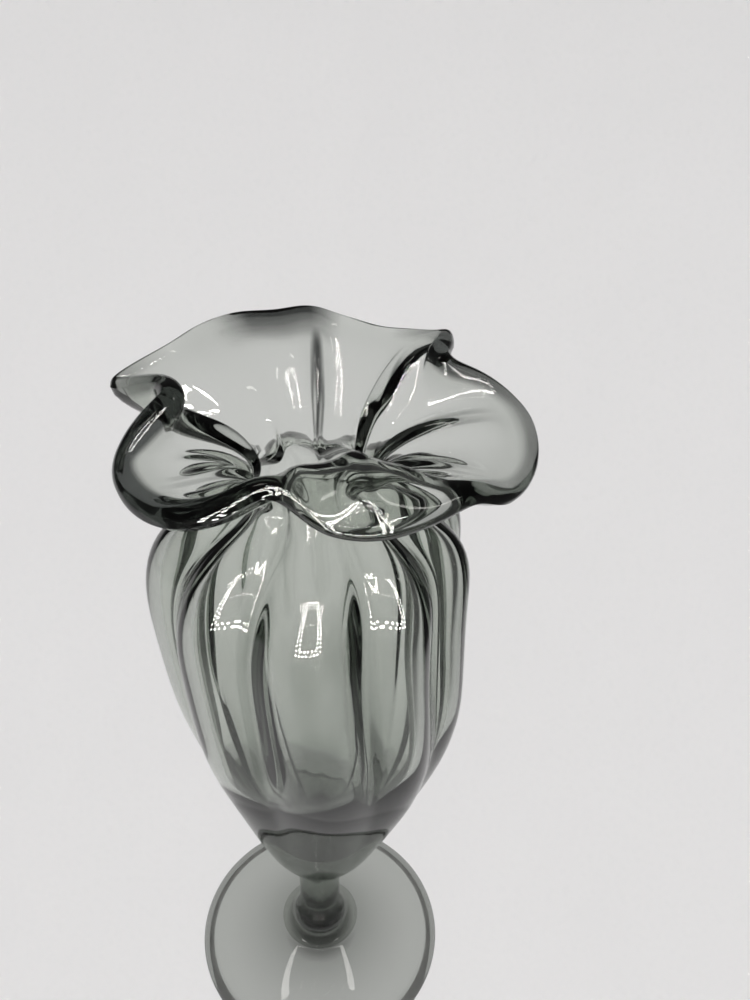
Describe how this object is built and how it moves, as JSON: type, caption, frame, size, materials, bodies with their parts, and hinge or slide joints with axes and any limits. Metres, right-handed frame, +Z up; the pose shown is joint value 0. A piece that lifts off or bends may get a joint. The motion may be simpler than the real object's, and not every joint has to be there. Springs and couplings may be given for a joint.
{
  "type": "glass bud vase",
  "caption": "Ribbed smoke-glass bud vase with a narrow neck, a ruffled handkerchief rim, a short solid stem and a round domed foot.",
  "frame": {"origin": "on the table surface, at the middle of the round foot, which is also the axis of the stem", "axes": "+Z up along the stem's axis, +Y to the back, away from the low front petal of the rim, +X to the right of someone facing that petal"},
  "size_m": [0.0763, 0.066, 0.1878],
  "materials": {
    "smoke_glass": "clear smoke-grey glass with a slight green cast, fire-polished and glossy all over"
  },
  "bodies": {
    "root": {"bowl": "smoke_glass", "stem": "smoke_glass", "foot": "smoke_glass"}
  },
  "joints": []
}
